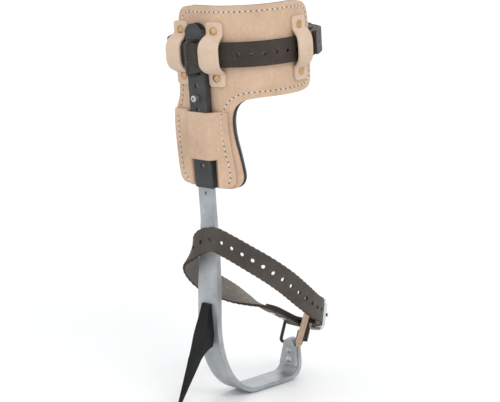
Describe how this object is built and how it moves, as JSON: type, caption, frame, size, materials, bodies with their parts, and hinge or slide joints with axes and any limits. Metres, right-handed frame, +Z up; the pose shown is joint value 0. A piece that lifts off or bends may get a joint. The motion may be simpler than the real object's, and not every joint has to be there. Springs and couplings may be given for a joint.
{
  "type": "tree climbing spur",
  "caption": "Steel arborist climber for one leg: stirrup and shank with gaff, height-adjusting sleeve with L-shaped leather calf pad, calf strap and ankle strap on a ring.",
  "frame": {"origin": "middle of the tread's top face, where the boot's sole rests", "axes": "+Z up along the shank, +X from the shank across the tread to the ring side, -Y towards the wearer's toes"},
  "size_m": [0.2043, 0.1601, 0.4324],
  "materials": {
    "grey_steel": "satin grey zinc-rich paint over forged steel",
    "black_steel": "black powder coat, satin",
    "black_wire": "black oxide, oiled",
    "dark_screw": "black oxide worn at the edges",
    "zinc_screw": "bright zinc plate",
    "tan_leather": "natural vegetable-tanned harness leather, smooth grain",
    "brown_leather": "dark brown oiled harness leather",
    "black_felt": "pressed wool felt",
    "brass_rivet": "polished, slightly dulled",
    "nickel": "nickel plate"
  },
  "bodies": {
    "leg_iron": {"leg_iron": "grey_steel", "gaff": "black_steel", "gaff_screws": "dark_screw", "ring_clip": "grey_steel", "clip_rivets": "grey_steel"},
    "sleeve": {"sleeve": "black_steel", "strap_loop": "black_wire", "lock_screw": "zinc_screw", "pad_leather": "tan_leather", "pad_felt": "black_felt", "pocket": "tan_leather", "left_keeper": "tan_leather", "middle_keeper": "tan_leather", "right_keeper": "tan_leather", "keeper_rivets": "brass_rivet", "calf_strap": "brown_leather", "calf_strap_rivets": "nickel", "calf_buckle_frame": "nickel"},
    "ankle_strap": {"ankle_ring": "black_wire", "foot_strap": "brown_leather", "foot_strap_rivets": "nickel", "buckle_strap": "brown_leather", "buckle_strap_rivet": "nickel", "foot_buckle_frame": "nickel", "strap_guard": "tan_leather"},
    "foot_buckle_tongue": {"foot_buckle_tongue": "nickel"},
    "foot_buckle_roller": {"foot_buckle_roller": "nickel"},
    "calf_buckle_tongue": {"calf_buckle_tongue": "nickel"},
    "calf_buckle_roller": {"calf_buckle_roller": "nickel"}
  },
  "joints": [
    {"name": "sleeve_slide", "type": "slide", "parent": "leg_iron", "child": "sleeve", "axis": [-0.1019, 0, 0.9948], "range_m": [-0.0127, 0.1016]},
    {"name": "ring_swing", "type": "hinge", "parent": "leg_iron", "child": "ankle_strap", "pos_m": [0.065, -0.0025, 0.0336], "axis": [0, 1, 0], "range_deg": [-3, 2]},
    {"name": "foot_tongue_hinge", "type": "hinge", "parent": "ankle_strap", "child": "foot_buckle_tongue", "pos_m": [0.0605, -0.0385, 0.075], "axis": [0.303, 0.1224, 0.9451], "range_deg": [0, 12]},
    {"name": "foot_roller_spin", "type": "hinge", "parent": "ankle_strap", "child": "foot_buckle_roller", "pos_m": [0.05546, -0.05845, 0.0792], "axis": [0.303, 0.1224, 0.9451], "continuous": true},
    {"name": "calf_tongue_hinge", "type": "hinge", "parent": "sleeve", "child": "calf_buckle_tongue", "pos_m": [0.05464, -0.0215, 0.38288], "axis": [0.1019, 0, -0.9948], "range_deg": [0, 12]},
    {"name": "calf_roller_spin", "type": "hinge", "parent": "sleeve", "child": "calf_buckle_roller", "pos_m": [0.05464, -0.0005, 0.38288], "axis": [-0.1019, 0, 0.9948], "continuous": true}
  ]
}
